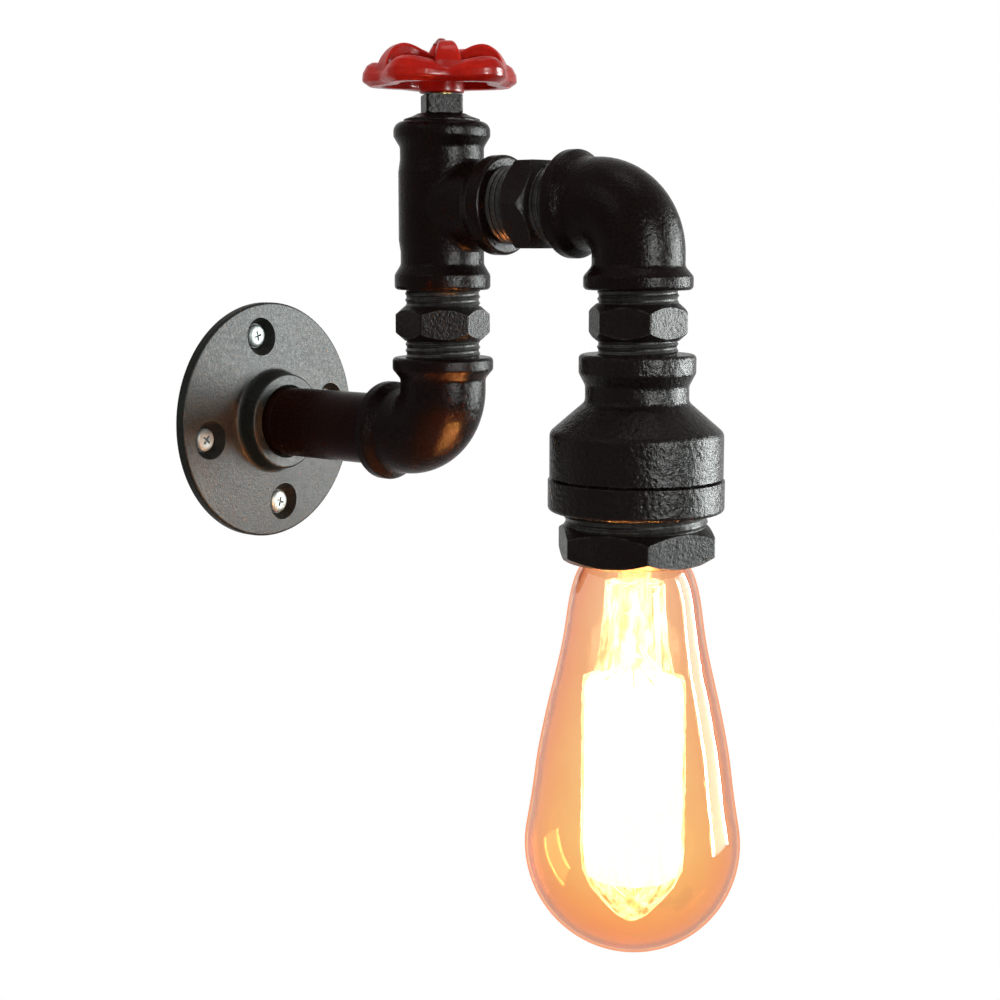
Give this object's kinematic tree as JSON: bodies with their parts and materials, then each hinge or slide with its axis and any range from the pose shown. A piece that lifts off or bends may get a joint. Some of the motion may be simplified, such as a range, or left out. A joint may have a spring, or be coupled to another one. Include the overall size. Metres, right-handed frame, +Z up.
{
  "type": "pipe wall light",
  "caption": "Wall light built from black pipe fittings, with a red valve wheel over the tee and a bare filament bulb hanging from a bell reducer.",
  "frame": {"origin": "centre of the wall flange's back face, on the wall", "axes": "+Z up, +Y into the wall, so the arm stands out along -Y; the pipework lies in the plane X = 0"},
  "size_m": [0.0738, 0.1952, 0.251],
  "materials": {
    "flange_paint": "satin black paint over cast iron, fine orange peel",
    "black_casting": "satin black paint over malleable iron",
    "zinc_steel": "bright zinc plate",
    "red_enamel": "gloss red enamel over cast iron",
    "brass": "plain rolled brass",
    "porcelain": "glazed white porcelain",
    "amber_glass": "clear blown glass with an amber tint",
    "clear_glass": "clear glass mount",
    "black_glass": "black vitreous insulator",
    "carbon": "glowing carbon filament",
    "nickel_wire": "drawn nickel wire",
    "dimmer_case": "moulded dimmer case",
    "wire_brown": "silicone insulated wire",
    "wire_blue": "silicone insulated wire"
  },
  "bodies": {
    "arm": {"wall_flange": "flange_paint", "flange_screws": "zinc_steel", "wall_nipple": "black_casting", "lower_elbow": "black_casting", "riser_hex_nipple": "black_casting", "tee": "black_casting", "branch_hex_nipple": "black_casting", "upper_elbow": "black_casting", "drop_hex_nipple": "black_casting", "bell_reducer": "black_casting", "hex_bush": "black_casting", "holder_washer": "zinc_steel", "holder_rod": "zinc_steel", "holder_locknut": "zinc_steel", "holder_cover": "zinc_steel", "holder_body": "porcelain", "holder_screw_shell": "brass", "holder_contact_strip": "brass", "holder_shell_strip": "brass", "holder_terminals": "brass", "terminal_screws": "zinc_steel", "bonnet": "black_casting", "dimmer_body": "dimmer_case", "gland_nut": "black_casting", "neutral_wire": "wire_blue", "live_wire": "wire_brown", "switched_wire": "wire_brown"},
    "wheel": {"dimmer_spindle": "brass", "handwheel": "red_enamel", "wheel_screw": "zinc_steel"},
    "bulb": {"bulb_glass": "amber_glass", "bulb_cap": "brass", "bulb_insulator": "black_glass", "bulb_contact": "brass", "bulb_stem": "clear_glass", "bulb_filament": "carbon", "filament_supports": "nickel_wire", "lead_in_wires": "nickel_wire"}
  },
  "joints": [
    {"name": "wheel_turn", "type": "hinge", "parent": "arm", "child": "wheel", "pos_m": [0, -0.074, 0.0972], "axis": [0, 0, 1], "range_deg": [-300, 0]},
    {"name": "bulb_out", "type": "slide", "parent": "arm", "child": "bulb", "axis": [0, 0, -1], "range_m": [0, 0.034]}
  ]
}
